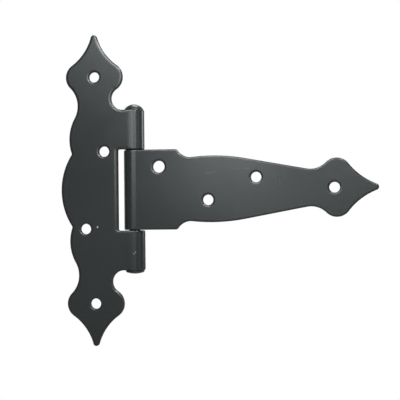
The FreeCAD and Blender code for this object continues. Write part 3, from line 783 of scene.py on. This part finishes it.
def peel_group():
    """Soft ripples of a powder coat with a fine grain on top, as one height, and a slow mottle."""
    numbers = ["Peel", "Grain", "Grain share"]
    tree, given, result = new_group("coat_surface", ["Vector"], numbers, ["Height", "Mottle"])
    ripple = noise(tree, given["Vector"], calculate(tree, "DIVIDE", 1.0, given["Peel"]), 1.0)
    grain = noise(tree, given["Vector"], calculate(tree, "DIVIDE", 1.0, given["Grain"]), 2.0)
    height = calculate(tree, "MULTIPLY_ADD", grain, given["Grain share"], ripple)
    tree.links.new(height, result["Height"])
    tree.links.new(noise(tree, given["Vector"], MOTTLE_SCALE, 3.0, 0.6), result["Mottle"])


def edge_group():
    """Where the coat has thinned: the rounds of the stamped edges, broken up by noise. The wall
    attribute w is the sine of the edge's turn, so the round is 4 w w (1 - w w)."""
    tree, given, result = new_group("edge_wear", ["Vector"], ["Wall", "Amount"], ["Mask"])
    square = calculate(tree, "MULTIPLY", given["Wall"], given["Wall"])
    rest = calculate(tree, "SUBTRACT", 1.0, square)
    round_mask = calculate(tree, "MULTIPLY", calculate(tree, "MULTIPLY", square, rest), 4.0)
    patches = noise(tree, given["Vector"], PATCH_SCALE, 4.0, 0.7)
    broken = fade(tree, patches, *PATCH_RANGE, 0.0, 1.0)
    mask = calculate(tree, "MULTIPLY", round_mask, broken)
    mask = calculate(tree, "MULTIPLY", mask, given["Amount"], clamp=True)
    tree.links.new(mask, result["Mask"])


def scuff_group():
    """A small scuff: 1 on the line from start to end, and 0 from the given width away. The nearest
    point of the line is start + t (end - start), with t the share of the way, from 0 to 1."""
    vectors = ["Vector", "Start", "End"]
    tree, given, result = new_group("small_scuff", vectors, ["Width", "Depth"], ["Mask"])
    way = combine(tree, "SUBTRACT", given["End"], given["Start"])["Vector"]
    arm = combine(tree, "SUBTRACT", given["Vector"], given["Start"])["Vector"]
    along = combine(tree, "DOT_PRODUCT", arm, way)["Value"]
    whole = combine(tree, "DOT_PRODUCT", way, way)["Value"]
    part = calculate(tree, "DIVIDE", along, whole, clamp=True)
    step = new_node(tree, "ShaderNodeVectorMath", {0: way, "Scale": part}, operation="SCALE")
    apart = combine(tree, "DISTANCE", arm, step.outputs["Vector"])["Value"]
    mask = fade(tree, apart, 0.0, given["Width"], given["Depth"], 0.0)
    tree.links.new(mask, result["Mask"])


def scuff_mask(tree, coordinates, scuffs):
    """All the scuffs of a list in one mask, from 0 to 1."""
    total = 0.0
    for start, end, width, depth in scuffs:
        links = {
            "Vector": coordinates,
            "Start": MM * Vector(start),
            "End": MM * Vector(end),
            "Width": MM * width,
            "Depth": depth,
        }
        total = calculate(tree, "MAXIMUM", total, place_group(tree, "small_scuff", links)["Mask"])
    return total


# The noise of the roughness and of the worn patches: cells to the metre, and the range that counts
MOTTLE_SCALE = 55.0
MOTTLE_RANGE = (0.3, 0.7)
PATCH_SCALE = 260.0
PATCH_RANGE = (0.42, 0.72)

# Small marks of handling: start, end and width in millimetres, and depth
SCUFFS = (
    ((-22.5, -6.6, -22.8), (-22.5, -6.6, -23.3), 0.7, 0.7),
    ((0.4, -6.6, -39.9), (0.7, -6.5, -39.7), 0.45, 0.5),
    ((1.4, -6.4, -39.2), (1.6, -6.4, -38.9), 0.45, 0.5),
    ((46.1, -6.6, 9.6), (50.0, -6.6, 9.9), 0.6, 0.07),
    ((50.0, -6.6, 9.9), (52.5, -6.6, 10.6), 0.5, 0.05),
    ((64.9, -6.6, 12.4), (67.6, -6.6, 12.35), 0.6, 0.03),
    ((70.2, -6.6, 12.2), (72.9, -6.6, 12.15), 0.6, 0.06),
    ((54.4, -6.6, 18.0), (54.8, -6.6, 18.0), 0.7, 0.06),
    ((59.3, -6.6, 17.9), (59.7, -6.6, 17.9), 0.7, 0.06),
)
PITS = (((6.1, -2.5, -44.4), (6.1, -2.4, -44.8), 0.7, 1.0),)


def cleared_tree(owner):
    """The empty node tree of a new material or world."""
    owner.use_nodes = True
    owner.node_tree.nodes.clear()
    return owner.node_tree


def coat_material(name, settings, roughness):
    """Satin powder coat: a near-black paint with soft ripples, a fine grain and thinned edges."""
    tree = cleared_tree(bpy.data.materials.new(name))
    vector = new_node(tree, "ShaderNodeTexCoord").outputs["Object"]
    wall = new_node(tree, "ShaderNodeAttribute", attribute_name="wall").outputs["Fac"]
    rubbed = new_node(tree, "ShaderNodeAttribute", attribute_name="polish").outputs["Fac"]
    links = {"Peel": settings.peel, "Grain": settings.grain, "Grain share": settings.grain_share}
    surface = place_group(tree, "coat_surface", {"Vector": vector, **links})
    worn = place_group(tree, "edge_wear", {"Vector": vector, "Wall": wall, "Amount": settings.wear})["Mask"]
    light = scuff_mask(tree, vector, SCUFFS)
    pitted = scuff_mask(tree, vector, PITS)
    tone = blend(tree, worn, (*settings.tone, 1.0), (*settings.worn_tone, 1.0))
    tone = blend(tree, light, tone, (*settings.scuff_tone, 1.0))

    low = roughness - settings.mottle
    high = roughness + settings.mottle
    mottled = fade(tree, surface["Mottle"], *MOTTLE_RANGE, low, high, kind="LINEAR")
    marked = calculate(tree, "MAXIMUM", light, pitted)
    dull = calculate(tree, "MULTIPLY_ADD", marked, settings.scuff_dullness, mottled)
    gloss = calculate(tree, "MULTIPLY", rubbed, settings.polish)
    ripples = {"Strength": settings.ripple_strength, "Distance": settings.ripple_height}
    bump = new_node(tree, "ShaderNodeBump", {"Height": surface["Height"], **ripples})
    paint = {
        "Base Color": tone,
        "Roughness": calculate(tree, "SUBTRACT", dull, gloss),
        "Normal": bump.outputs["Normal"],
        "Specular IOR Level": 0.5,
    }
    shader = new_node(tree, "ShaderNodeBsdfPrincipled", paint).outputs["BSDF"]
    new_node(tree, "ShaderNodeOutputMaterial", {"Surface": shader})


class TEEHINGE_OT_coats(bpy.types.Operator):
    """Mix the powder coats for the sheets and the pin."""

    bl_idname = "tee_hinge.coats"
    bl_label = "Mix the Coats"

    def execute(self, context):
        peel_group()
        edge_group()
        scuff_group()
        settings = context.scene.tee_hinge_coat
        coat_material("sheet_powder_coat", settings, settings.roughness)
        coat_material("pin_powder_coat", settings, settings.pin_roughness)
        return {"FINISHED"}


class TEEHINGE_OT_frame_leaf(bpy.types.Operator):
    """Stamp and roll the frame leaf."""

    bl_idname = "tee_hinge.frame_leaf"
    bl_label = "Frame Leaf"

    def execute(self, context):
        scene = context.scene
        leaf, sheet, pin = scene.tee_hinge_leaf, scene.tee_hinge_sheet, scene.tee_hinge_pin
        outline, ribs = leaf_outline(leaf, sheet, scene.tee_hinge_strap, pin)
        holes = leaf_holes(leaf)
        tilts = [(-leaf.lead, 0.0), (0.0, leaf.lead_tilt), (leaf.lead_fade, 0.0)]
        make_sheet("rolled_leaf", outline, ribs, holes, 1, leaf.edge_drop, tilts, "leaf", "frame_leaf")
        return {"FINISHED"}


class TEEHINGE_OT_strap(bpy.types.Operator):
    """Stamp and roll the strap."""

    bl_idname = "tee_hinge.strap"
    bl_label = "Strap"

    def execute(self, context):
        scene = context.scene
        strap = scene.tee_hinge_strap
        outline, ribs = strap_outline(strap, scene.tee_hinge_sheet, scene.tee_hinge_pin)
        holes = strap_holes(strap)
        ridge_turn = strap.ridge / scene.tee_hinge_sheet.barrel_radius
        tilts = [
            (-strap.lead, 0.0),
            (-strap.rise_start, -strap.rise_tilt),
            (0.0, -strap.rise_tilt),
            (strap.ridge, -strap.rise_tilt - ridge_turn),
            (strap.ridge_fade, 0.0),
        ]
        make_sheet("rolled_strap", outline, ribs, holes, -1, strap.edge_drop, tilts, "strap", "strap")
        return {"FINISHED"}


class TEEHINGE_OT_pin(bpy.types.Operator):
    """Turn the pin and rivet both its ends."""

    bl_idname = "tee_hinge.pin"
    bl_label = "Riveted Pin"

    def execute(self, context):
        scene = context.scene
        place, normal, faces = turned(pin_outline(scene.tee_hinge_pin, scene.tee_hinge_sheet))
        plain = np.zeros(len(place))
        attributes = {"wall": plain, "polish": plain}
        body, node, slot = "leaf", "hinge_pin", "pin_coat"
        new_piece("riveted_pin", place, faces, normal, attributes, "pin_powder_coat", body, node)
        return {"FINISHED"}


# The studio


def camera_axes(azimuth, elevation, roll_angle):
    """The camera's right, up and forward directions."""
    level = Vector((math.cos(azimuth), math.sin(azimuth), 0.0))
    ahead = Vector((-math.sin(azimuth), math.cos(azimuth), 0.0))
    forward = ahead * math.cos(elevation) - Vector((0.0, 0.0, math.sin(elevation)))
    upright = level.cross(forward)
    right = level * math.cos(roll_angle) + upright * math.sin(roll_angle)
    up = upright * math.cos(roll_angle) - level * math.sin(roll_angle)
    return right, up, forward


def add_camera(studio):
    """The camera at the photo's angle."""
    right, up, forward = camera_axes(studio.camera_azimuth, studio.camera_elevation, studio.camera_roll)
    data = bpy.data.cameras.new("studio_camera")
    data.sensor_width = studio.sensor / MM
    data.lens = studio.lens / MM
    data.clip_start = 0.01
    data.clip_end = 50.0
    camera = bpy.data.objects.new("studio_camera", data)
    place = Vector(studio.camera_aim) - forward * studio.camera_distance
    turn = Matrix((right, up, -forward)).transposed().to_4x4()
    camera.matrix_world = Matrix.Translation(place) @ turn
    bpy.context.scene.collection.objects.link(camera)
    bpy.context.scene.camera = camera


# Softboxes: azimuth and elevation in degrees, distance and side in metres, and radiance
SOFTBOXES = {
    "overhead_softbox": (35.0, 44.8, 0.516, 0.12, 43.0),
    "high_softbox": (-14.3, 43.8, 0.4, 0.08, 11.5),
    "upper_softbox": (-2.4, 37.7, 0.354, 0.08, 12.6),
    "upper_right_softbox": (9.8, 28.9, 0.325, 0.08, 5.7),
    "middle_softbox": (-14.3, 28.5, 0.329, 0.08, 3.5),
    "left_softbox": (-25.2, 26.9, 0.347, 0.08, 2.5),
    "front_softbox": (-2.4, 19.0, 0.296, 0.08, 5.1),
    "right_softbox": (21.2, 17.9, 0.315, 0.08, 4.9),
    "front_panel": (-2.4, 7.5, 0.283, 0.08, 2.8),
    "right_panel": (21.2, 7.0, 0.303, 0.08, 1.2),
    "low_panel": (9.8, -4.7, 0.285, 0.08, 0.87),
    "left_panel": (-25.2, -4.3, 0.31, 0.08, 0.46),
    "side_panel": (60.0, 0.0, 1.3, 0.58, 0.75),
    "rim_softbox": (123.5, 10.0, 1.3, 0.46, 4.3),
    "back_softbox": (180.0, 65.0, 1.3, 0.58, 6.6),
    "back_panel": (205.0, 8.0, 1.3, 0.9, 1.6),
}


def add_softbox(name, azimuth, elevation, distance, side, radiance, tint, aim):
    """A square lamp that looks at the aim. Its power is pi x area x radiance."""
    _, _, forward = camera_axes(math.radians(azimuth), math.radians(elevation), 0.0)
    data = bpy.data.lights.new(name, "AREA")
    data.shape = "SQUARE"
    data.size = side
    data.energy = math.pi * side**2 * radiance
    data.color = tint
    lamp = bpy.data.objects.new(name, data)
    lamp.location = Vector(aim) - forward * distance
    lamp.rotation_mode = "QUATERNION"
    lamp.rotation_quaternion = forward.to_track_quat("-Z", "Y")
    lamp.visible_camera = False
    bpy.context.scene.collection.objects.link(lamp)


def show_to_camera(tree, seen, soft, output):
    """The seen shader to the camera, and the soft one to every other ray."""
    by_camera = new_node(tree, "ShaderNodeLightPath").outputs["Is Camera Ray"]
    links = {0: by_camera, 1: soft.outputs[0], 2: seen.outputs[0]}
    new_node(tree, output, {"Surface": new_node(tree, "ShaderNodeMixShader", links).outputs[0]})


def add_floor(studio):
    """A wide pale floor. The camera sees it fully lit, and the hinge sees it dimly."""
    half = studio.floor_width / 2
    corners = [(half * x, half * y, FLOOR_LEVEL) for x, y in ((-1, -1), (1, -1), (1, 1), (-1, 1))]
    mesh = bpy.data.meshes.new("pale_floor")
    mesh.from_pydata(corners, [], [(0, 1, 2, 3)])
    material = bpy.data.materials.new("pale_floor")
    tree = cleared_tree(material)
    seen = new_node(tree, "ShaderNodeEmission", {"Color": (*studio.floor_tone, 1.0), "Strength": 1.0})
    paint = new_node(tree, "ShaderNodeBsdfDiffuse", {"Color": (*studio.floor_paint, 1.0)})
    show_to_camera(tree, seen, paint, "ShaderNodeOutputMaterial")
    mesh.materials.append(material)
    floor = bpy.data.objects.new("pale_floor", mesh)
    bpy.context.scene.collection.objects.link(floor)


def add_room(studio):
    """The room: white to the camera, and a soft grey fill for the hinge."""
    world = bpy.data.worlds.new("studio_room")
    bpy.context.scene.world = world
    tree = cleared_tree(world)
    fill = {"Color": (*studio.room_tint, 1.0), "Strength": studio.room_fill}
    seen = new_node(tree, "ShaderNodeBackground", {"Color": (*studio.floor_tone, 1.0), "Strength": 1.0})
    soft = new_node(tree, "ShaderNodeBackground", fill)
    show_to_camera(tree, seen, soft, "ShaderNodeOutputWorld")


class TEEHINGE_OT_studio(bpy.types.Operator):
    """Set up the floor, the room, the softboxes and the camera."""

    bl_idname = "tee_hinge.studio"
    bl_label = "Studio"

    def execute(self, context):
        studio = context.scene.tee_hinge_studio
        add_camera(studio)
        add_floor(studio)
        add_room(studio)
        for name, softbox in SOFTBOXES.items():
            add_softbox(name, *softbox, studio.lamp_tint, studio.camera_aim)
        context.scene.view_settings.view_transform = "Standard"
        return {"FINISHED"}


class TEEHINGE_PT_panel(bpy.types.Panel):
    """The hinge's steps in the sidebar."""

    bl_idname = "TEEHINGE_PT_panel"
    bl_label = "Tee Hinge"
    bl_space_type = "VIEW_3D"
    bl_region_type = "UI"
    bl_category = "Tee Hinge"

    def draw(self, context):
        for step in STEPS:
            self.layout.operator(step.bl_idname)


SETTINGS = {
    "tee_hinge_sheet": TEEHINGE_PG_sheet,
    "tee_hinge_leaf": TEEHINGE_PG_leaf,
    "tee_hinge_strap": TEEHINGE_PG_strap,
    "tee_hinge_pin": TEEHINGE_PG_pin,
    "tee_hinge_coat": TEEHINGE_PG_coat,
    "tee_hinge_studio": TEEHINGE_PG_studio,
}
STEPS = (TEEHINGE_OT_studio, TEEHINGE_OT_coats, TEEHINGE_OT_frame_leaf, TEEHINGE_OT_strap, TEEHINGE_OT_pin)
CLASSES = (*SETTINGS.values(), *STEPS, TEEHINGE_PT_panel)


def register():
    # Each setting is shown under its own name in plain words
    for group in SETTINGS.values():
        for name, setting in group.__annotations__.items():
            setting.keywords["name"] = name.replace("_", " ").capitalize()
    for item in CLASSES:
        bpy.utils.register_class(item)
    for name, group in SETTINGS.items():
        setattr(bpy.types.Scene, name, PointerProperty(type=group))


def unregister():
    for name in SETTINGS:
        delattr(bpy.types.Scene, name)
    for item in reversed(CLASSES):
        bpy.utils.unregister_class(item)


def main():
    register()
    bpy.ops.tee_hinge.studio()
    bpy.ops.tee_hinge.coats()
    bpy.ops.tee_hinge.frame_leaf()
    bpy.ops.tee_hinge.strap()
    bpy.ops.tee_hinge.pin()


if __name__ == "__main__":
    main()
